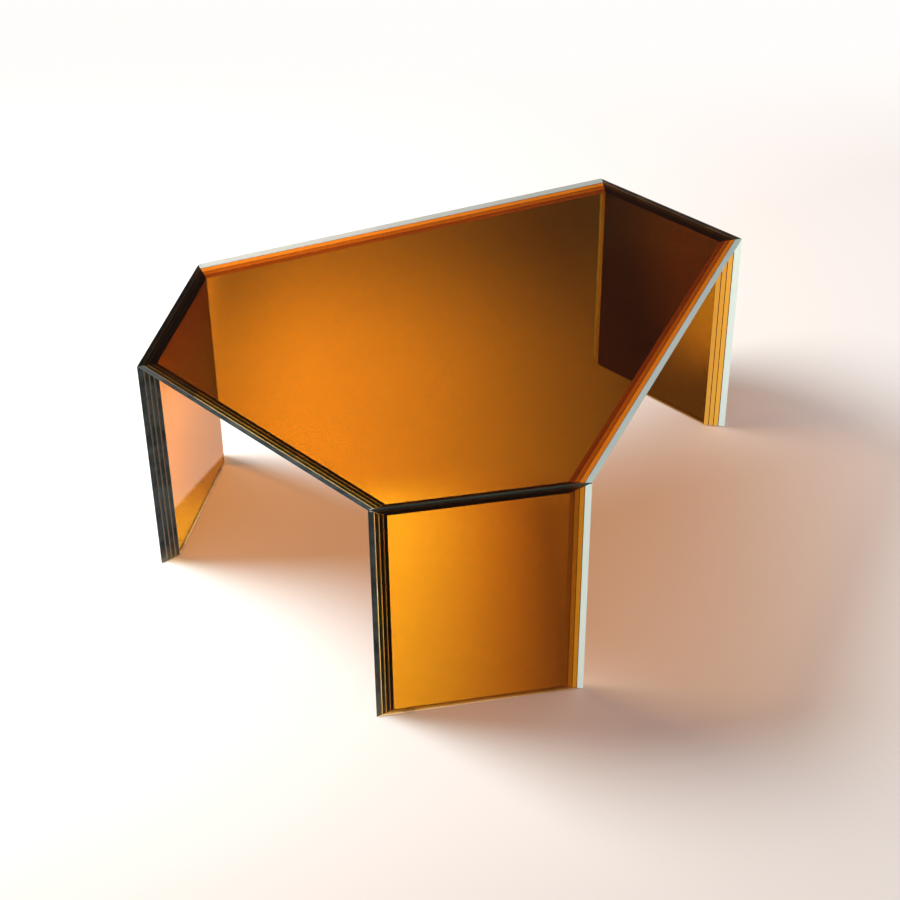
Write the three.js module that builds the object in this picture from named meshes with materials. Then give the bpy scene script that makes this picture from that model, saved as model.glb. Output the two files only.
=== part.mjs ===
// Low table of laminated amber glass: a six-sided top on three glass panel legs, every free edge bevelled.
// Millimetres, +Z up. The origin is on the floor, under the centre of the table's box. The long front
// edge faces -Y and the rear leg stands at +Y.

import * as THREE from 'three';

// ---- driving dimensions ------------------------------------------------------------------------

const TABLE_HEIGHT = 350;
const TRIANGLE_BASE = 975; // the isosceles triangle that the top is cut from, along its front edge
const BASE_ANGLE = THREE.MathUtils.degToRad(68.25);
const LEG_WIDTH = 285; // each corner of the triangle is cut off square to its bisector at this width

const OUTER_PLY = 6; // thicker clear ply on the outside of every panel
const INNER_PLY = 4;
const INNER_PLY_COUNT = 3;
const FILM = 0.76; // amber interlayer
const BOND_GAP = 0.03; // film to ply, and seam to panel

const FREE_BEVEL = 1.6; // inset of the top's free edges for each millimetre of depth: long knife edges

const SEAM = 0.3; // dark adhesive in the mitre between the top and a leg
const SEAM_SETBACK = 0.5; // the adhesive stops short of the outer corner

const PAD_HEIGHT = 1;
const PAD_RADIUS = 9;
const PAD_FROM_CORNER = 45;
const PAD_SIDES = 32;

// ---- derived sizes -----------------------------------------------------------------------------

const PANEL = OUTER_PLY + INNER_PLY_COUNT * (FILM + INNER_PLY);
const MITRE = 1; // inset for each millimetre of depth where the top meets a leg: a 45 degree edge
const SQUARE = 0;
const JOINT_RELIEF = (SEAM / 2 + BOND_GAP) * Math.SQRT2; // how far a joined edge stands back for the seam
const LEG_TOP = TABLE_HEIGHT - PAD_HEIGHT;
const SIDE_TURN = (Math.PI - BASE_ANGLE) / 2; // how far the outline turns at a cut front corner
const REAR_TURN = BASE_ANGLE; // and at the cut apex

// ---- materials ---------------------------------------------------------------------------------

const clearGlass = new THREE.MeshStandardMaterial({
  color: 0xcfe3e4, roughness: 0.03, metalness: 0, transparent: true, opacity: 0.35,
});
const amberFilm = new THREE.MeshStandardMaterial({
  color: 0xd98a1c, roughness: 0.1, metalness: 0, transparent: true, opacity: 0.75,
});
const darkAdhesive = new THREE.MeshStandardMaterial({ color: 0x1a110a, roughness: 0.25, metalness: 0 });
const clearPad = new THREE.MeshStandardMaterial({
  color: 0xdfe3e0, roughness: 0.35, metalness: 0, transparent: true, opacity: 0.6,
});

// ---- the plan of the top -----------------------------------------------------------------------

// Each corner of the triangle is cut square to its bisector, so the cut takes the same length off both
// of the sides that meet there. The points run counter-clockwise from the front edge's left end.
function planOutline() {
  const frontCut = LEG_WIDTH / (2 * Math.sin(BASE_ANGLE / 2));
  const apexHalfAngle = Math.PI / 2 - BASE_ANGLE;
  const triangleDepth = (TRIANGLE_BASE / 2) * Math.tan(BASE_ANGLE);
  const depth = triangleDepth - LEG_WIDTH / (2 * Math.tan(apexHalfAngle));
  const frontHalf = TRIANGLE_BASE / 2 - frontCut;
  const wideHalf = TRIANGLE_BASE / 2 - frontCut * Math.cos(BASE_ANGLE);
  const wideY = frontCut * Math.sin(BASE_ANGLE) - depth / 2;
  return [
    new THREE.Vector2(-frontHalf, -depth / 2),
    new THREE.Vector2(frontHalf, -depth / 2),
    new THREE.Vector2(wideHalf, wideY),
    new THREE.Vector2(LEG_WIDTH / 2, depth / 2),
    new THREE.Vector2(-LEG_WIDTH / 2, depth / 2),
    new THREE.Vector2(-wideHalf, wideY),
  ];
}

// The outline with each edge moved inwards by its own distance; edge i runs from point i to point i + 1.
function insetOutline(points, distances) {
  const count = points.length;
  const directions = points.map((p, i) => points[(i + 1) % count].clone().sub(p).normalize());
  return points.map((point, i) => {
    const before = directions[(i + count - 1) % count];
    const after = directions[i];
    const moveBefore = distances[(i + count - 1) % count];
    const moveAfter = distances[i];
    const turn = before.cross(after);
    return new THREE.Vector2(
      point.x + (after.x * moveBefore - before.x * moveAfter) / turn,
      point.y + (after.y * moveBefore - before.y * moveAfter) / turn,
    );
  });
}

// ---- panels ------------------------------------------------------------------------------------

// One layer of a panel: the convex outline at two depths below the outer face, joined by its edge faces.
function layerGeometry(outline, edges, nearDepth, farDepth) {
  const rings = [nearDepth, farDepth].map((layerDepth) => {
    const distances = edges.map((edge) => edge.slope * layerDepth + edge.relief);
    return insetOutline(outline, distances).map((p) => [p.x, p.y, -layerDepth]);
  });
  const count = outline.length;
  const index = [];
  for (let i = 1; i < count - 1; i += 1) {
    index.push(0, i, i + 1);
    index.push(count, count + i + 1, count + i);
  }
  for (let i = 0; i < count; i += 1) {
    const next = (i + 1) % count;
    index.push(i, count + i, count + next);
    index.push(i, count + next, next);
  }
  const geometry = new THREE.BufferGeometry();
  geometry.setAttribute('position', new THREE.Float32BufferAttribute(rings.flat(2), 3));
  geometry.setIndex(index);
  geometry.computeVertexNormals();
  return geometry;
}

function namedMesh(name, geometry, material) {
  const mesh = new THREE.Mesh(geometry, material);
  mesh.name = name;
  return mesh;
}

// A laminate from the outside in: the thick clear ply, then an amber film and a thinner ply, repeated.
// The panel lies in its own XY plane with its outer face at z = 0, looking along +z.
function laminate(name, outline, edges) {
  const panel = new THREE.Group();
  panel.add(namedMesh(`${name}_outer_ply`, layerGeometry(outline, edges, 0, OUTER_PLY), clearGlass));
  let depth = OUTER_PLY;
  for (let i = 1; i <= INNER_PLY_COUNT; i += 1) {
    const film = layerGeometry(outline, edges, depth + BOND_GAP, depth + FILM - BOND_GAP);
    panel.add(namedMesh(`${name}_amber_film_${i}`, film, amberFilm));
    depth += FILM;
    const ply = layerGeometry(outline, edges, depth, depth + INNER_PLY);
    panel.add(namedMesh(`${name}_inner_ply_${i}`, ply, clearGlass));
    depth += INNER_PLY;
  }
  return panel;
}

// A leg's side edges are bevelled so that its mitre has the same outline as the top's mitre above it.
// The angle is the outline's turn at the corner they share.
function legSideBevel(turn) {
  return (FREE_BEVEL - Math.cos(turn)) / Math.sin(turn);
}

function legPanel(name, sideBevel) {
  const half = LEG_WIDTH / 2;
  const outline = [
    new THREE.Vector2(-half, 0),
    new THREE.Vector2(half, 0),
    new THREE.Vector2(half, LEG_TOP),
    new THREE.Vector2(-half, LEG_TOP),
  ];
  const edges = [
    { slope: SQUARE, relief: 0 },
    { slope: sideBevel, relief: 0 },
    { slope: MITRE, relief: JOINT_RELIEF },
    { slope: sideBevel, relief: 0 },
  ];
  return laminate(name, outline, edges);
}

// The adhesive lies in the plane that halves the corner, and narrows inwards as the leg's mitre does.
function mitreSeam(name, sideBevel) {
  const wide = LEG_WIDTH / 2 - SEAM_SETBACK * sideBevel;
  const narrow = LEG_WIDTH / 2 - PANEL * sideBevel;
  const shape = new THREE.Shape([
    new THREE.Vector2(-wide, -SEAM_SETBACK),
    new THREE.Vector2(-narrow, -PANEL * Math.SQRT2),
    new THREE.Vector2(narrow, -PANEL * Math.SQRT2),
    new THREE.Vector2(wide, -SEAM_SETBACK),
  ]);
  const geometry = new THREE.ExtrudeGeometry(shape, { depth: SEAM, bevelEnabled: false });
  geometry.translate(0, 0, -SEAM / 2);
  const seam = namedMesh(`${name}_mitre_seam`, geometry, darkAdhesive);
  seam.rotation.x = Math.PI / 4;
  seam.position.y = LEG_TOP;
  return seam;
}

function footPad(name, side) {
  const geometry = new THREE.CylinderGeometry(PAD_RADIUS, PAD_RADIUS, PAD_HEIGHT - BOND_GAP, PAD_SIDES);
  const pad = namedMesh(`${name}_foot_pad_${side < 0 ? 'a' : 'b'}`, geometry, clearPad);
  pad.position.set(side * (LEG_WIDTH / 2 - PAD_FROM_CORNER), -(PAD_HEIGHT + BOND_GAP) / 2, -PANEL / 2);
  return pad;
}

// A leg stands under one cut corner: local x runs along the cut, local y is up, local z points outwards.
function standingLeg(name, from, to, turn) {
  const leg = new THREE.Group();
  leg.add(legPanel(name, legSideBevel(turn)));
  leg.add(mitreSeam(name, legSideBevel(turn)));
  leg.add(footPad(name, -1));
  leg.add(footPad(name, 1));
  const along = to.clone().sub(from).normalize();
  const middle = from.clone().add(to).multiplyScalar(0.5);
  const basis = new THREE.Matrix4().makeBasis(
    new THREE.Vector3(along.x, along.y, 0),
    new THREE.Vector3(0, 0, 1),
    new THREE.Vector3(along.y, -along.x, 0),
  );
  leg.quaternion.setFromRotationMatrix(basis);
  leg.position.set(middle.x, middle.y, PAD_HEIGHT);
  return leg;
}

// ---- assembly ----------------------------------------------------------------------------------

const plan = planOutline();

// The top's edges alternate: a long free edge, then a short one joined to a leg.
const topEdges = plan.map((_, i) => (
  i % 2 === 1 ? { slope: MITRE, relief: JOINT_RELIEF } : { slope: FREE_BEVEL, relief: 0 }
));
const top = laminate('top', plan, topEdges);
top.position.z = TABLE_HEIGHT;

const table = new THREE.Group();
table.add(top);
table.add(standingLeg('right_leg', plan[1], plan[2], SIDE_TURN));
table.add(standingLeg('rear_leg', plan[3], plan[4], REAR_TURN));
table.add(standingLeg('left_leg', plan[5], plan[0], SIDE_TURN));

export default table;
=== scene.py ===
import math

import bmesh
import bpy
from mathutils import Matrix, Vector


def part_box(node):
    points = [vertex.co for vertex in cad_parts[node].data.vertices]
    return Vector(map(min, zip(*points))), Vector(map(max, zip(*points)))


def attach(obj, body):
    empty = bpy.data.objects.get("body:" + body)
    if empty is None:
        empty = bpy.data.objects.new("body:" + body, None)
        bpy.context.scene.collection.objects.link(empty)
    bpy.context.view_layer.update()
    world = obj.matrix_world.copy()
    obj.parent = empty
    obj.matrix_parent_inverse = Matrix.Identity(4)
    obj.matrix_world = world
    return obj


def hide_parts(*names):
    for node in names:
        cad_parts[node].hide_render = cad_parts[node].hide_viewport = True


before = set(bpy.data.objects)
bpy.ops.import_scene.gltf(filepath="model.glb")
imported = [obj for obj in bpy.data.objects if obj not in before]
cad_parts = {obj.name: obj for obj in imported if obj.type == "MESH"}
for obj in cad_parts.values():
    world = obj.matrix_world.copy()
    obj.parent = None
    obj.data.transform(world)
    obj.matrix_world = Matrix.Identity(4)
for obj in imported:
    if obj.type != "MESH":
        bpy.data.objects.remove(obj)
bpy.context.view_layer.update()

print("frame loaded:", len(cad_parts), "nodes")


class Wire:
    # one output socket, with the arithmetic that the materials and trees below use
    def __init__(self, tree, socket):
        self.tree = tree
        self.socket = socket

    def calc(self, operation, *values):
        return add(self.tree, "ShaderNodeMath", {"operation": operation}, dict(enumerate(values)))

    def __add__(self, other):
        return self.calc("ADD", self, other)

    def __radd__(self, other):
        return self.calc("ADD", other, self)

    def __sub__(self, other):
        return self.calc("SUBTRACT", self, other)

    def __rsub__(self, other):
        return self.calc("SUBTRACT", other, self)

    def __mul__(self, other):
        return self.calc("MULTIPLY", self, other)

    def __rmul__(self, other):
        return self.calc("MULTIPLY", other, self)

    def atLeast(self, other):
        return self.calc("MAXIMUM", self, other)

    def ramp(self, low, high, start=0.0, end=1.0):
        # a smooth step from start to end while this value goes from low to high
        return add(self.tree, "ShaderNodeMapRange", {"interpolation_type": "SMOOTHSTEP"}, {
            "Value": self, "From Min": low, "From Max": high, "To Min": start, "To Max": end})

    def line(self, low, high, start=0.0, end=1.0):
        # the same in a straight line
        return add(self.tree, "ShaderNodeMapRange", {"clamp": True}, {
            "Value": self, "From Min": low, "From Max": high, "To Min": start, "To Max": end})


# any node: its type, its settings, then the values or wires of its sockets by name, identifier or place
def add(tree, kind, settings=None, inputs=None, output=0):
    node = tree.nodes.new(kind)
    for name, value in (settings or {}).items():
        setattr(node, name, value)
    for key, value in (inputs or {}).items():
        named = [s for s in node.inputs if s.identifier == key]
        socket = named[0] if named else node.inputs[key]
        if isinstance(value, Wire):
            tree.links.new(value.socket, socket)
        else:
            socket.default_value = value
    return Wire(tree, node.outputs[output]) if len(node.outputs) else None


def sibling(wire, name):
    return Wire(wire.tree, wire.socket.node.outputs[name])


def mixColour(tree, factor, first, second):
    return add(tree, "ShaderNodeMix", {"data_type": "RGBA"}, {
        "Factor_Float": factor, "A_Color": first, "B_Color": second}, output=2)


def mixShader(tree, factor, first, second):
    return add(tree, "ShaderNodeMixShader", {}, {"Fac": factor, "Shader": first, "Shader_001": second})


def newMaterial(name):
    material = bpy.data.materials.new(name)
    material.use_nodes = True
    material.node_tree.nodes.clear()
    return material, material.node_tree


def finishMaterial(tree, surface):
    add(tree, "ShaderNodeOutputMaterial", {}, {"Surface": surface})


def objectPoint(tree):
    return sibling(add(tree, "ShaderNodeTexCoord"), "Object")


def noise(tree, scale, detail=2.0, roughness=0.5):
    return add(tree, "ShaderNodeTexNoise", {}, {
        "Vector": objectPoint(tree), "Scale": scale, "Detail": detail, "Roughness": roughness})


def lightRay(tree):
    # 1 for rays that carry light to other surfaces, which go straight through the glass
    path = add(tree, "ShaderNodeLightPath", output="Is Shadow Ray")
    return path.atLeast(sibling(path, "Is Diffuse Ray"))


seeThrough = (1, 1, 1, 1)   # the colour of a surface that takes nothing from the light

glassLook = {
    "ior": 1.52,
    "tint": (0.955, 0.985, 0.98, 1),      # faint blue-green of plain float glass
    "shine": 0.004,                       # roughness of a clean polished face
    "smear": 0.035,                       # more roughness where it was wiped or touched
    "smearScale": 9.0,
    "greaseScale": 198.0,                 # the finer marks inside a smear
    "wave": 0.015,                        # strength of the rolled surface's slow waviness
    "waveScale": 3.5,
    "waveHeight": 0.002,
}


def polishedGlass():
    material, tree = newMaterial("polishedGlass")
    cloud = noise(tree, glassLook["smearScale"], 4.0, 0.6)
    grease = noise(tree, glassLook["greaseScale"], 3.0, 0.7)
    smear = cloud.ramp(0.56, 0.8) * grease.ramp(0.35, 0.75)
    wave = add(tree, "ShaderNodeBump", {}, {
        "Strength": glassLook["wave"], "Distance": glassLook["waveHeight"],
        "Height": noise(tree, glassLook["waveScale"], 1.0)})
    glass = add(tree, "ShaderNodeBsdfGlass", {}, {
        "Color": glassLook["tint"], "Roughness": glassLook["shine"] + smear * glassLook["smear"],
        "IOR": glassLook["ior"], "Normal": wave})
    clear = add(tree, "ShaderNodeBsdfTransparent", {}, {"Color": seeThrough})
    finishMaterial(tree, mixShader(tree, lightRay(tree), glass, clear))
    return material


def bondedFace():
    # where a ply meets a film or the adhesive nothing shows: the interlayer matches the glass
    material, tree = newMaterial("bondedFace")
    finishMaterial(tree, add(tree, "ShaderNodeBsdfTransparent", {}, {"Color": seeThrough}))
    return material


satinLook = {
    "gloss": 0.06,             # share of the surface that shines
    "glossRoughness": (0.3, 0.5),
    "patchScale": 14.0,
    "patchShare": 0.6,
    "grindScale": 900.0,       # fine marks left by the grinding wheel
    "grindShare": 0.4,
    "grindBump": 0.25,
    "grindHeight": 0.0002,
}
satinTints = {   # lighter tone, darker tone, share of light from behind, painted glow: an emission standing in for light led along the glass
    # the top's tones are painted darker than the legs': painted shade on the top's edges and painted light
    # on the legs' edges
    "topEdge": ((0.42, 0.56, 0.58, 1), (0.31, 0.44, 0.47, 1), 0.6, 0.0),
    "legEdge": ((0.78, 1.0, 1.0, 1), (0.70, 0.95, 0.95, 1), 0.6, 0.26),
    "topAmber": ((1.0, 0.50, 0.08, 1), (0.9, 0.38, 0.04, 1), 0.6, 0.08),
    "legAmber": ((1.0, 0.66, 0.10, 1), (1.0, 0.52, 0.05, 1), 0.5, 0.3),
    "footEdge": ((0.80, 0.62, 0.38, 1), (0.45, 0.32, 0.18, 1), 0.3, 0.1),
    # the arris line is painted pale, a painted highlight
    "arrisLine": ((0.50, 0.56, 0.56, 1), (0.22, 0.29, 0.29, 1), 0.3, 0.0),
    "mitreLine": ((0.08, 0.19, 0.17, 1), (0.02, 0.06, 0.055, 1), 0.1, 0.0),
}


def satinEdge(name):
    light, dark, behind, paintedGlow = satinTints[name]
    material, tree = newMaterial(name)
    patches = noise(tree, satinLook["patchScale"], 3.0, 0.6)
    grain = noise(tree, satinLook["grindScale"], 2.0, 0.6)
    tone = patches * satinLook["patchShare"] + grain * satinLook["grindShare"]
    colour = mixColour(tree, tone, light, dark)
    bump = add(tree, "ShaderNodeBump", {}, {
        "Strength": satinLook["grindBump"], "Distance": satinLook["grindHeight"], "Height": grain})
    front = add(tree, "ShaderNodeBsdfDiffuse", {}, {"Color": colour, "Normal": bump})
    through = add(tree, "ShaderNodeBsdfTranslucent", {}, {"Color": colour, "Normal": bump})
    shine = add(tree, "ShaderNodeBsdfAnisotropic", {}, {
        "Color": (1, 1, 1, 1), "Roughness": grain.line(0, 1, *satinLook["glossRoughness"]), "Normal": bump})
    body = mixShader(tree, behind, front, through)
    body = mixShader(tree, satinLook["gloss"], body, shine)
    # painted glow: an emission that stands in for light led along the glass, though the edge is no lamp
    if paintedGlow:
        paintedEdgeGlow = add(tree, "ShaderNodeEmission", {}, {"Color": colour, "Strength": paintedGlow})
        body = add(tree, "ShaderNodeAddShader", {}, {"Shader": body, "Shader_001": paintedEdgeGlow})
    finishMaterial(tree, body)
    return material


darkEdgeLook = {
    # painted shade: the slate and its shade stand in for the dark that a polished bevel shows
    "slate": (0.085, 0.115, 0.12, 1),
    "shade": (0.03, 0.045, 0.048, 1),
    "streakScale": 30.0,
    "streakRoughness": 0.06,
    "clear": 0.1,              # how much still shows through the polish
    "lightThrough": 0.8,       # share of the light for other surfaces that passes
}


def darkEdge():
    # a polished bevel that turns the light away, painted dark as painted shade, with faint glints
    material, tree = newMaterial("darkEdge")
    streak = noise(tree, darkEdgeLook["streakScale"], 3.0, 0.6)
    colour = mixColour(tree, streak.ramp(0.3, 0.7), darkEdgeLook["slate"], darkEdgeLook["shade"])
    body = add(tree, "ShaderNodeBsdfDiffuse", {}, {"Color": colour})
    glass = add(tree, "ShaderNodeBsdfGlass", {}, {
        "Color": glassLook["tint"], "Roughness": streak * darkEdgeLook["streakRoughness"],
        "IOR": glassLook["ior"]})
    clear = add(tree, "ShaderNodeBsdfTransparent", {}, {"Color": seeThrough})
    seen = mixShader(tree, darkEdgeLook["clear"], body, glass)
    finishMaterial(tree, mixShader(tree, lightRay(tree) * darkEdgeLook["lightThrough"], seen, clear))
    return material


amberLook = {
    "panel": (0.22, 0.095, 0.004),   # what one whole panel lets through
    "shade": (0.36, 0.135, 0.02),    # and how it tints the light that falls through it
    "films": 3,
    "haze": (0.62, 0.22, 0.025, 1),
    "hazeShare": 0.004,
    "hazeScale": 260.0,
    "hazeRoughness": (0.35, 0.6),
    "cutLight": (0.26, 0.16, 0.09, 1),
    "cutDark": (0.10, 0.055, 0.03, 1),
    "cutScale": 90.0,
    "faceLimit": 0.97,               # a face this square to the panel is dyed film, the rest is cut edge
}


def amberFilm(panel, facing):
    # facing is the way the panel looks: the film's own cut edges show as dark lines
    material, tree = newMaterial(panel + "Film")
    crossings = 2 * amberLook["films"]   # each film has two faces
    seen, cast = ([share ** (1 / crossings) for share in amberLook[k]] + [1] for k in ("panel", "shade"))
    dye = add(tree, "ShaderNodeBsdfTransparent", {}, {"Color": seen})
    wash = add(tree, "ShaderNodeBsdfTransparent", {}, {"Color": cast})
    speck = noise(tree, amberLook["hazeScale"], 2.0, 0.6)
    haze = add(tree, "ShaderNodeBsdfPrincipled", {}, {
        "Base Color": amberLook["haze"], "Roughness": speck.line(0, 1, *amberLook["hazeRoughness"])})
    share = speck.ramp(0.4, 0.75) * amberLook["hazeShare"]
    film = mixShader(tree, lightRay(tree), mixShader(tree, share, dye, haze), wash)
    cut = add(tree, "ShaderNodeBsdfDiffuse", {}, {"Color": mixColour(
        tree, noise(tree, amberLook["cutScale"]), amberLook["cutLight"], amberLook["cutDark"])})
    normal = add(tree, "ShaderNodeNewGeometry", output="True Normal")
    facingShare = add(tree, "ShaderNodeVectorMath", {"operation": "DOT_PRODUCT"}, {
        0: normal, 1: tuple(facing)}, output="Value")
    squared = facingShare * facingShare
    flat = squared.calc("GREATER_THAN", squared, amberLook["faceLimit"])
    finishMaterial(tree, mixShader(tree, flat, cut, film))
    return material


adhesiveLook = {
    "dark": (0.006, 0.003, 0.002, 1),
    "brown": (0.03, 0.014, 0.006, 1),
    "roughness": (0.25, 0.5),
    "blotScale": 55.0,
    "rippleScale": 320.0,
    "ripple": 0.2,
    "rippleHeight": 0.0003,
}


def mitreAdhesive():
    material, tree = newMaterial("mitreAdhesive")
    blot = noise(tree, adhesiveLook["blotScale"], 4.0, 0.6)
    colour = mixColour(tree, blot.ramp(0.4, 0.7), adhesiveLook["dark"], adhesiveLook["brown"])
    ripple = add(tree, "ShaderNodeBump", {}, {
        "Strength": adhesiveLook["ripple"], "Distance": adhesiveLook["rippleHeight"],
        "Height": noise(tree, adhesiveLook["rippleScale"], 3.0)})
    roughness = blot.line(0.2, 0.8, *adhesiveLook["roughness"])
    finishMaterial(tree, add(tree, "ShaderNodeBsdfPrincipled", {}, {
        "Base Color": colour, "Roughness": roughness, "Normal": ripple}))
    return material


gelLook = {
    "pale": (0.78, 0.82, 0.8, 1),
    "grey": (0.6, 0.64, 0.62, 1),
    "through": (0.9, 0.92, 0.9, 1),   # tint of what shows through
    "clearness": 0.35,
    "bloomClear": 0.1,                # and how much more of it where the bloom is
    "roughness": (0.3, 0.5),
    "ior": 1.45,
    "bloomScale": 180.0,
    "skinScale": 2400.0,
    "skin": 0.3,
    "skinHeight": 0.0002,
}


def softPad():
    material, tree = newMaterial("softPad")
    bloom = noise(tree, gelLook["bloomScale"], 3.0, 0.6)
    colour = mixColour(tree, bloom.ramp(0.35, 0.7), gelLook["pale"], gelLook["grey"])
    skin = add(tree, "ShaderNodeBump", {}, {
        "Strength": gelLook["skin"], "Distance": gelLook["skinHeight"],
        "Height": noise(tree, gelLook["skinScale"], 2.0)})
    roughness = bloom.line(0.2, 0.8, *gelLook["roughness"])
    gel = add(tree, "ShaderNodeBsdfPrincipled", {}, {
        "Base Color": colour, "Roughness": roughness, "IOR": gelLook["ior"], "Normal": skin})
    see = add(tree, "ShaderNodeBsdfTransparent", {}, {"Color": gelLook["through"]})
    finishMaterial(tree, mixShader(tree, gelLook["clearness"] + bloom * gelLook["bloomClear"], gel, see))
    return material


finishes = {
    "polished": polishedGlass(),
    "bonded": bondedFace(),
    "dark": darkEdge(),
    **{name: satinEdge(name) for name in satinTints},
    "adhesive": mitreAdhesive(),
    "pad": softPad(),
}
print("materials made:", len(finishes))


def newTree(name, numbers):
    # a geometry tree with a mesh in and out and named number inputs; returns the tree and its input node
    tree = bpy.data.node_groups.new(name, "GeometryNodeTree")
    tree.interface.new_socket("Geometry", in_out="INPUT", socket_type="NodeSocketGeometry")
    tree.interface.new_socket("Geometry", in_out="OUTPUT", socket_type="NodeSocketGeometry")
    for label in numbers:
        tree.interface.new_socket(label, in_out="INPUT", socket_type="NodeSocketFloat")
    return tree, add(tree, "NodeGroupInput")


def finishTree(tree, shape, material):
    real = add(tree, "GeometryNodeRealizeInstances", {}, {"Geometry": shape})
    painted = add(tree, "GeometryNodeSetMaterial", {}, {"Geometry": real, "Material": material})
    add(tree, "NodeGroupOutput", {}, {"Geometry": painted})


def runTree(mesh, name, tree, numbers):
    # the tree's result on this mesh, as a plain mesh in a new object
    source = bpy.data.objects.new(name + "_source", mesh)
    bpy.context.scene.collection.objects.link(source)
    modifier = source.modifiers.new("shape", "NODES")
    modifier.node_group = tree
    for item in tree.interface.items_tree:
        if item.in_out == "INPUT" and item.name in numbers:
            modifier[item.identifier] = numbers[item.name]
    bpy.context.view_layer.update()
    evaluated = source.evaluated_get(bpy.context.evaluated_depsgraph_get())
    result = bpy.data.meshes.new_from_object(evaluated)
    result.name = name
    bpy.data.objects.remove(source)
    piece = bpy.data.objects.new(name, result)
    bpy.context.scene.collection.objects.link(piece)
    return piece


plyLook = {
    "arris": 0.0008,      # metres rounded off the outermost edges
    "arrisSteps": 3,
    "line": 0.0003,       # the narrow line ground beside each film on the front's edges, painted pale as a painted highlight
}
weld = 0.000001           # metres within which points are one
flatLimit = 0.99          # how square to the panel a ply's outer and inner faces are


def mitredPlyTree():
    # a flat outline is carried inwards through the ply, each corner along its own slanted line
    tree, given = newTree("mitredPly", ["Ply Depth"])
    travel = add(tree, "GeometryNodeInputNamedAttribute", {"data_type": "FLOAT_VECTOR"}, {"Name": "travel"})
    move = add(tree, "ShaderNodeVectorMath", {"operation": "SCALE"}, {
        "Vector": travel, "Scale": sibling(given, "Ply Depth")})
    walls = add(tree, "GeometryNodeExtrudeMesh", {"mode": "FACES"}, {
        "Mesh": sibling(given, "Geometry"), "Offset Scale": 0.0, "Individual": False})
    moved = add(tree, "GeometryNodeSetPosition", {}, {
        "Geometry": walls, "Selection": sibling(walls, "Top"), "Offset": move})
    cap = add(tree, "GeometryNodeFlipFaces", {}, {"Mesh": sibling(given, "Geometry")})
    joined = add(tree, "GeometryNodeJoinGeometry")
    for part in (moved, cap):
        tree.links.new(part.socket, joined.socket.node.inputs[0])
    closed = add(tree, "GeometryNodeMergeByDistance", {}, {"Geometry": joined, "Distance": weld})
    finishTree(tree, closed, finishes["polished"])
    return tree


def corners(node):
    points = {tuple(round(c, 6) for c in v.co): v.co.copy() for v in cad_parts[node].data.vertices}
    return list(points.values())


def outwardNormal(node):
    # the direction that the most area faces: the outer face is a ply's largest
    areas = {}
    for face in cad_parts[node].data.polygons:
        key = tuple(round(c, 2) for c in face.normal)
        areas.setdefault(key, [0.0, face.normal.copy()])[0] += face.area
    return max(areas.values(), key=lambda entry: entry[0])[1].normalized()


def plyOutline(node, normal):
    # the ply's outer corners in order, wound to face inwards, with each corner's partner on the inner face
    points = corners(node)
    outermost = max(p.dot(normal) for p in points)
    near = [p for p in points if p.dot(normal) > outermost - 0.0001]
    far = [p for p in points if p not in near]
    centre = sum(near, Vector()) / len(near)
    side = (near[0] - centre).normalized()
    other = side.cross(normal)
    near.sort(key=lambda p: math.atan2((p - centre).dot(other), (p - centre).dot(side)))
    depth = outermost - min(p.dot(normal) for p in points)
    return [(p, (min(far, key=lambda q: (q - p).length) - p) / depth) for p in near], depth


slots = ["polished", "bonded", "dark", *satinTints]


def faceFinish(face, normal, place):
    # the finish of one face of a ply; place is "outer", "inner" or "middle"
    facing = face.normal.dot(normal)
    if facing > flatLimit:
        return "polished" if place == "outer" else "bonded"
    if facing < -flatLimit:
        return "polished" if place == "inner" else "bonded"
    if abs(facing + math.sqrt(0.5)) < 0.02:
        return "bonded"                            # the mitre, which the adhesive fills
    outward = (face.normal - normal * facing).normalized()
    if outward.z < -0.9:
        return "footEdge"
    if outward.y < -0.5:
        return "dark"                              # the front's edges are polished and painted dark as painted shade, the others ground
    return ("top" if normal.z > 0.9 else "leg") + ("Edge" if place == "outer" else "Amber")


def softenEdges(shape, edges, size, steps):
    # rounds these edges; those beside a polished bevel catch the light and are painted pale as a painted
    # highlight, those of a mitre stay dark
    for beside, finish in (("bonded", "mitreLine"), ("dark", "arrisLine"), (None, "polished")):
        chosen = [e for e in edges if e.is_valid and (beside is None or any(
            slots[f.material_index] == beside for f in e.link_faces))]
        edges = [e for e in edges if e not in chosen]
        bmesh.ops.bevel(shape, geom=chosen, offset=size, segments=steps, profile=0.5,
                        affect="EDGES", clamp_overlap=True, material=slots.index(finish))


def glassPly(node, normal, place, tree):
    outline, depth = plyOutline(node, normal)
    flat = bpy.data.meshes.new(node + "_outline")
    flat.from_pydata([p for p, _ in outline], [], [list(range(len(outline)))])
    flat.update()
    travel = flat.attributes.new("travel", "FLOAT_VECTOR", "POINT")
    for entry, (_, step) in zip(travel.data, outline):
        entry.vector = step
    piece = runTree(flat, node + "_glass", tree, {"Ply Depth": depth})
    mesh = piece.data
    mesh.materials.clear()
    for finish in slots:
        mesh.materials.append(finishes[finish])
    shape = bmesh.new()
    shape.from_mesh(mesh)
    shape.faces.ensure_lookup_table()
    for face in shape.faces:
        face.material_index = slots.index(faceFinish(face, normal, place))
    if place == "outer":
        rim = [e for f in shape.faces if f.normal.dot(normal) > flatLimit for e in f.edges]
        softenEdges(shape, rim, plyLook["arris"], plyLook["arrisSteps"])
    # the ground line beside each film, painted pale as a painted highlight
    lines = [e for e in shape.edges
             if any(abs(f.normal.dot(normal)) > flatLimit for f in e.link_faces)
             and any(slots[f.material_index] == "dark" for f in e.link_faces)]
    bmesh.ops.bevel(shape, geom=lines, offset=plyLook["line"], segments=1, profile=0.5,
                    affect="EDGES", clamp_overlap=True, material=slots.index("arrisLine"))
    shape.to_mesh(mesh)
    shape.free()
    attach(piece, "root")
    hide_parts(node)
    return piece


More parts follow.
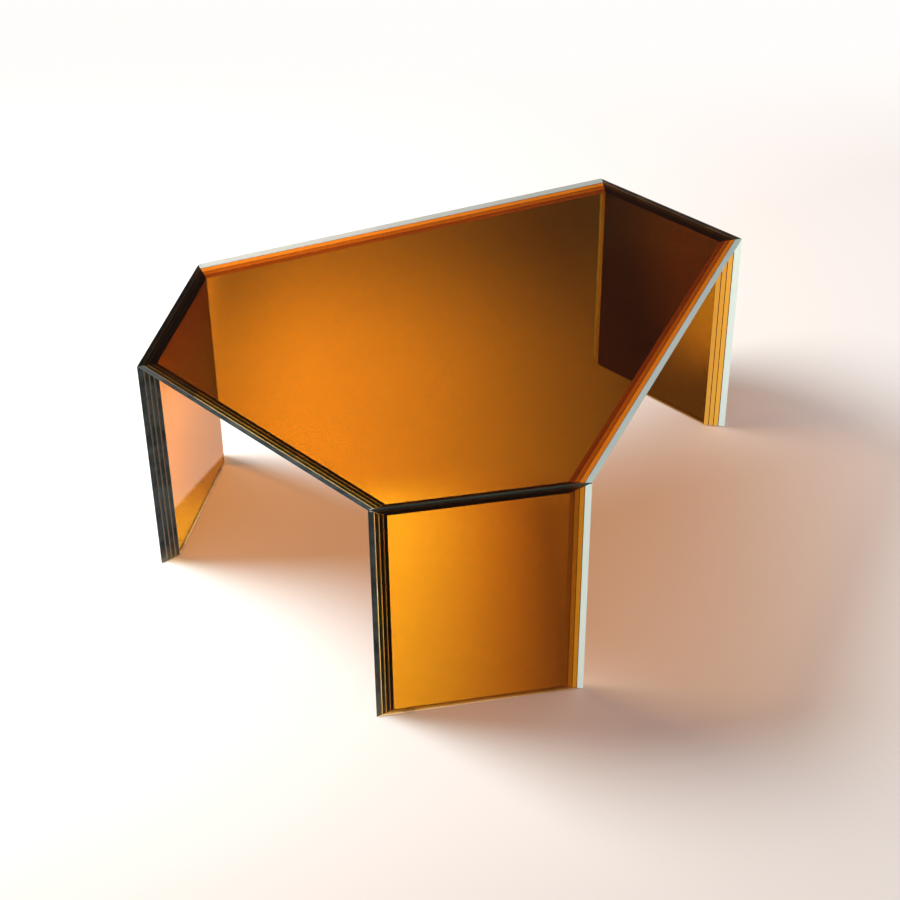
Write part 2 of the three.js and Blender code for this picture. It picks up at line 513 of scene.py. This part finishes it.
plyTree = mitredPlyTree()
plyCount = 0
for panel in ("top", "right_leg", "rear_leg", "left_leg"):
    normal = outwardNormal(panel + "_outer_ply")
    film = amberFilm(panel, normal)
    for name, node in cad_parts.items():
        if name.startswith(panel + "_amber_film_"):
            node.data.materials.clear()
            node.data.materials.append(film)
    plies = {"outer_ply": "outer", "inner_ply_1": "middle", "inner_ply_2": "middle", "inner_ply_3": "inner"}
    for ply, place in plies.items():
        glassPly(f"{panel}_{ply}", normal, place, plyTree)
        plyCount += 1
print("glass plies made:", plyCount)


# the mitre adhesive keeps its modelled shape
for name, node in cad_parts.items():
    if name.endswith("_mitre_seam"):
        node.data.materials.clear()
        node.data.materials.append(finishes["adhesive"])
print("films and seams finished")


padLook = {
    "Rounding": 0.12,     # share of the radius that the rim draws in at its top and bottom
    "sides": 48,
    "rows": 6,
}


def footPadTree():
    # soft discs standing on every point of the mesh, fuller at mid-height
    tree, given = newTree("footPads", ["Pad Radius", "Pad Height", "Rounding"])
    disc = add(tree, "GeometryNodeMeshCylinder", {"fill_type": "NGON"}, {
        "Vertices": padLook["sides"], "Side Segments": padLook["rows"], "Fill Segments": 1,
        "Radius": sibling(given, "Pad Radius"), "Depth": sibling(given, "Pad Height")})
    place = add(tree, "GeometryNodeInputPosition")
    apart = add(tree, "ShaderNodeSeparateXYZ", {}, {"Vector": place})
    height = sibling(apart, "Z").calc("DIVIDE", sibling(apart, "Z"), sibling(given, "Pad Height") * 0.5)
    square = height * height
    squeeze = 1 - square * square * sibling(given, "Rounding")
    rounded = add(tree, "ShaderNodeCombineXYZ", {}, {
        "X": sibling(apart, "X") * squeeze, "Y": sibling(apart, "Y") * squeeze, "Z": sibling(apart, "Z")})
    shaped = add(tree, "GeometryNodeSetPosition", {}, {"Geometry": disc, "Position": rounded})
    spread = add(tree, "GeometryNodeInstanceOnPoints", {}, {
        "Points": sibling(given, "Geometry"), "Instance": shaped})
    finishTree(tree, spread, finishes["pad"])
    return tree


padNodes = sorted(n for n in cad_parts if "_foot_pad_" in n)
padBoxes = [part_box(n) for n in padNodes]
padPoints = bpy.data.meshes.new("pad_points")
padPoints.from_pydata([(low + high) / 2 for low, high in padBoxes], [], [])
padSize = padBoxes[0][1] - padBoxes[0][0]
pads = runTree(padPoints, "foot_pads", footPadTree(), {
    "Pad Radius": min(padSize.x, padSize.y) / 2, "Pad Height": padSize.z, "Rounding": padLook["Rounding"]})
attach(pads, "root")
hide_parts(*padNodes)
print("foot pads made:", len(padNodes))


# spans are pairs of metres: across, the way the light falls off, and deep, square to that
floorLook = {
    "half": 14.0,
    "heading": (0.684, 0.73),           # the way across, on the plan
    "paper": (0.86, 0.82, 0.79, 1),
    "paperShade": (0.84, 0.795, 0.76, 1),
    # the paper painted darker towards the front: painted shade of the light falling off
    "paperFrontShade": (0.68, 0.63, 0.605, 1),
    "frontDeep": (-1.1, -0.2),
    "fibreScale": 420.0,
    "mottleScale": 1.3,
    "mirrored": (1.0, 0.88, 0.76, 1),   # a painted reflection: the floor as polished faces reflect it
    "mirroredDim": 0.08,
    "strip": 0.95,                      # and a painted bright strip of it beside the left leg
    "stripStart": (-0.388, -0.38),
    "stripEnd": (-0.25, -0.1),
    "white": (1.03, 0.985, 0.965, 1),   # painted light: far from the table the floor is painted burnt out to this
    "whiteDeep": (0.6, 1.7),
    "whiteLeft": (-1.3, -0.6),
    "whiteRight": (0.25, 1.0),
    "whiteRightShare": 0.42,
    "whiteRing": (3.0, 9.0),            # squared distances from the middle
}

# painted light: how strongly the floor lights the glass from behind, an emission that only rays through the
# glass see
glowLook = {
    "top": (4.95, 0.97),                # under the top, left and right
    "topAcross": (-0.32, 0.26),
    "topBack": 0.4,                     # share left of it towards the back
    "topDeep": (0.33, 0.9),
    "topLeft": 0.62,                    # and close to the left leg
    "topLeftAcross": (-0.46, -0.26),
    "leftLeg": 3.3,                     # more outside that leg
    "leftLegAcross": (-0.52, -0.42),
    "rearShade": 0.45,                  # share taken away in the rear leg's own shade
    "rearAcross": (0.2, 0.33),
    "rearDeep": (0.45, 0.75),
    "beyond": 1.7,                      # more beyond that shade
    "beyondAcross": (0.3, 0.45),
    "beyondDeep": (0.3, 0.5),
    "leg": (6.1, 1.15),                 # behind the nearest leg, left and right
    "legAcross": (-0.13, 0.1),
    "legFront": 0.68,                   # share left of it towards the front
    "legDeep": (-0.42, -0.05),
    "legToTop": (-0.03, 0.09),          # deep from the leg's light to the top's
    "legLeft": (1, 0.82, 0.6, 1),
    "legRight": (1, 0.5, 0.35, 1),
    "legTurn": (-0.14, 0.1),
    "topColour": (1, 0.61, 0.5, 1),
    "rearColour": (1, 0.78, 0.5, 1),
    "rearTurnAcross": (0.2, 0.34),
    "rearTurnDeep": (0.4, 0.7),
}


def floorGlow(tree, across, deep):
    # the colour and strength of the painted light that the floor gives to the glass above it
    look = glowLook
    topLight = across.ramp(*look["topAcross"], *look["top"])
    topLight = topLight * deep.ramp(*look["topDeep"], 1.0, look["topBack"])
    topLight = topLight * across.ramp(*look["topLeftAcross"], look["topLeft"], 1.0)
    topLight = topLight + across.ramp(*look["leftLegAcross"], look["leftLeg"], 0.0)
    shade = across.ramp(*look["rearAcross"]) * (1 - deep.ramp(*look["rearDeep"])) * look["rearShade"]
    topLight = topLight * (1 - shade)
    legLight = across.line(*look["legAcross"], *look["leg"])
    legLight = legLight * deep.line(*look["legDeep"], look["legFront"], 1.0)
    beyond = across.ramp(*look["beyondAcross"]) * deep.ramp(*look["beyondDeep"]) * look["beyond"]
    underTop = deep.ramp(*look["legToTop"])
    light = legLight + (topLight - legLight) * underTop + beyond
    colour = mixColour(tree, across.ramp(*look["legTurn"]), look["legLeft"], look["legRight"])
    colour = mixColour(tree, underTop, colour, look["topColour"])
    rear = across.ramp(*look["rearTurnAcross"]) * deep.ramp(*look["rearTurnDeep"])
    return mixColour(tree, rear, colour, look["rearColour"]), light


def floorMaterial():
    look = floorLook
    material, tree = newMaterial("paleFloor")
    apart = add(tree, "ShaderNodeSeparateXYZ", {}, {"Vector": objectPoint(tree)})
    east, north = sibling(apart, "X"), sibling(apart, "Y")
    headingX, headingY = look["heading"]
    across = east * headingX + north * headingY
    deep = north * headingX - east * headingY
    fibre = noise(tree, look["fibreScale"], 3.0, 0.6)
    colour = mixColour(tree, fibre * 0.5 + noise(tree, look["mottleScale"], 2.0) * 0.5,
                       look["paper"], look["paperShade"])
    # painted shade: darker paper towards the front
    colour = mixColour(tree, deep.ramp(*look["frontDeep"]), look["paperFrontShade"], colour)
    paper = add(tree, "ShaderNodeBsdfDiffuse", {}, {"Color": colour})
    glowColour, glowLight = floorGlow(tree, across, deep)
    paintedGlow = add(tree, "ShaderNodeEmission", {}, {"Color": glowColour, "Strength": glowLight})
    # painted reflection: an emission that polished faces see in place of the floor, with a bright strip
    # beside the left leg
    strip = across.ramp(*look["stripStart"]) * (1 - across.ramp(*look["stripEnd"]))
    mirrored = add(tree, "ShaderNodeEmission", {}, {
        "Color": look["mirrored"], "Strength": strip * look["strip"] + look["mirroredDim"]})
    # painted light: where the floor is painted burnt out to white
    far = deep.ramp(*look["whiteDeep"])
    far = far.atLeast(across.ramp(*look["whiteLeft"], 1.0, 0.0))
    far = far.atLeast(across.ramp(*look["whiteRight"]) * look["whiteRightShare"])
    far = far.atLeast((across * across + deep * deep).ramp(*look["whiteRing"]))
    white = add(tree, "ShaderNodeEmission", {}, {"Color": look["white"]})
    # each kind of ray sees its own floor: the view, a painted reflection, or the painted glow behind the
    # glass
    path = add(tree, "ShaderNodeLightPath", output="Is Transmission Ray")
    seen = mixShader(tree, far * sibling(path, "Is Camera Ray"), paper, white)
    seen = mixShader(tree, sibling(path, "Is Glossy Ray"), seen, mirrored)
    finishMaterial(tree, mixShader(tree, path, seen, paintedGlow))
    return material


half = floorLook["half"]
floorMesh = bpy.data.meshes.new("floor")
floorCorners = [(-half, -half, 0), (half, -half, 0), (half, half, 0), (-half, half, 0)]
floorMesh.from_pydata(floorCorners, [], [(0, 1, 2, 3)])
floorMesh.materials.append(floorMaterial())
floor = bpy.data.objects.new("floor", floorMesh)
bpy.context.scene.collection.objects.link(floor)
print("floor laid")


worldLook = {
    "seen": (1.0, 0.975, 0.95, 1),
    "fill": (0.40, 0.37, 0.35, 1),
    "mirroredHigh": (0.055, 0.05, 0.045, 1),   # a dark ceiling keeps the top's colour deep
    "mirroredLow": (0.75, 0.73, 0.71, 1),      # and pale walls show in it from low angles
    "climb": (0.08, 0.4),                      # how steep a direction is, from the walls to the ceiling
}

world = bpy.data.worlds.new("studio")
world.use_nodes = True
world.node_tree.nodes.clear()
sky = world.node_tree
path = add(sky, "ShaderNodeLightPath", output="Is Camera Ray")
seen = path.atLeast(sibling(path, "Is Transmission Ray"))
aim = sibling(add(sky, "ShaderNodeTexCoord"), "Generated")
climb = sibling(add(sky, "ShaderNodeSeparateXYZ", {}, {"Vector": aim}), "Z")
mirrored = mixColour(sky, climb.ramp(*worldLook["climb"]),
                     worldLook["mirroredLow"], worldLook["mirroredHigh"])
skyColour = mixColour(sky, sibling(path, "Is Glossy Ray"), worldLook["fill"], mirrored)
skyColour = mixColour(sky, seen, skyColour, worldLook["seen"])
background = add(sky, "ShaderNodeBackground", {}, {"Color": skyColour, "Strength": 1.0})
add(sky, "ShaderNodeOutputWorld", {}, {"Surface": background})
bpy.context.scene.world = world

keyLook = {
    "aim": (0.0, 0.0, 0.15),
    "heading": (0.85, 0.528),   # where its light travels, on the plan
    "height": 43.0,             # degrees above the floor
    "distance": 3.3,
    "width": 1.7,
    "watts": 185.0,
    "colour": (1.0, 0.965, 0.935),
}


def areaLight(name, look):
    lamp = bpy.data.lights.new(name, "AREA")
    lamp.shape = "DISK"
    lamp.size = look["width"]
    lamp.energy = look["watts"]
    lamp.color = look["colour"]
    tilt = math.radians(look["height"])
    heading = Vector((*look["heading"], 0)).normalized()
    travel = heading * math.cos(tilt) - Vector((0, 0, 1)) * math.sin(tilt)
    lampObject = bpy.data.objects.new(name, lamp)
    lampObject.location = Vector(look["aim"]) - travel * look["distance"]
    lampObject.rotation_euler = travel.to_track_quat("-Z", "Y").to_euler()
    bpy.context.scene.collection.objects.link(lampObject)
    lampObject.visible_glossy = False


areaLight("key", keyLook)
print("studio lit")


viewLook = {
    "aim": (0.0465, -0.1041, 0.18),
    "distance": 2.688,
    "azimuth": -45.375,     # degrees; 0 looks along +Y
    "elevation": 35.616,
    "roll": -0.618,
    "lens": 74.44,
    "sensor": 36.0,
}


def placeCamera(look):
    camera = bpy.data.cameras.new("camera")
    camera.lens = look["lens"]
    camera.sensor_width = look["sensor"]
    turn, lift, roll = (math.radians(look[k]) for k in ("azimuth", "elevation", "roll"))
    forward = Vector((math.sin(turn) * math.cos(lift), math.cos(turn) * math.cos(lift), -math.sin(lift)))
    level = Vector((math.cos(turn), -math.sin(turn), 0))
    upward = level.cross(forward)
    right = level * math.cos(roll) + upward * math.sin(roll)
    up = upward * math.cos(roll) - level * math.sin(roll)
    pose = Matrix((right, up, -forward)).transposed().to_4x4()
    pose.translation = Vector(look["aim"]) - forward * look["distance"]
    cameraObject = bpy.data.objects.new("camera", camera)
    cameraObject.matrix_world = pose
    bpy.context.scene.collection.objects.link(cameraObject)
    return cameraObject


scene = bpy.context.scene
scene.camera = placeCamera(viewLook)
scene.view_settings.view_transform = "Standard"
# enough for light to cross two panels of four plies and three films
glassBounces = 24
scene.cycles.max_bounces = glassBounces
scene.cycles.transmission_bounces = glassBounces
scene.cycles.glossy_bounces = 12
scene.cycles.transparent_max_bounces = 96
print("camera placed")
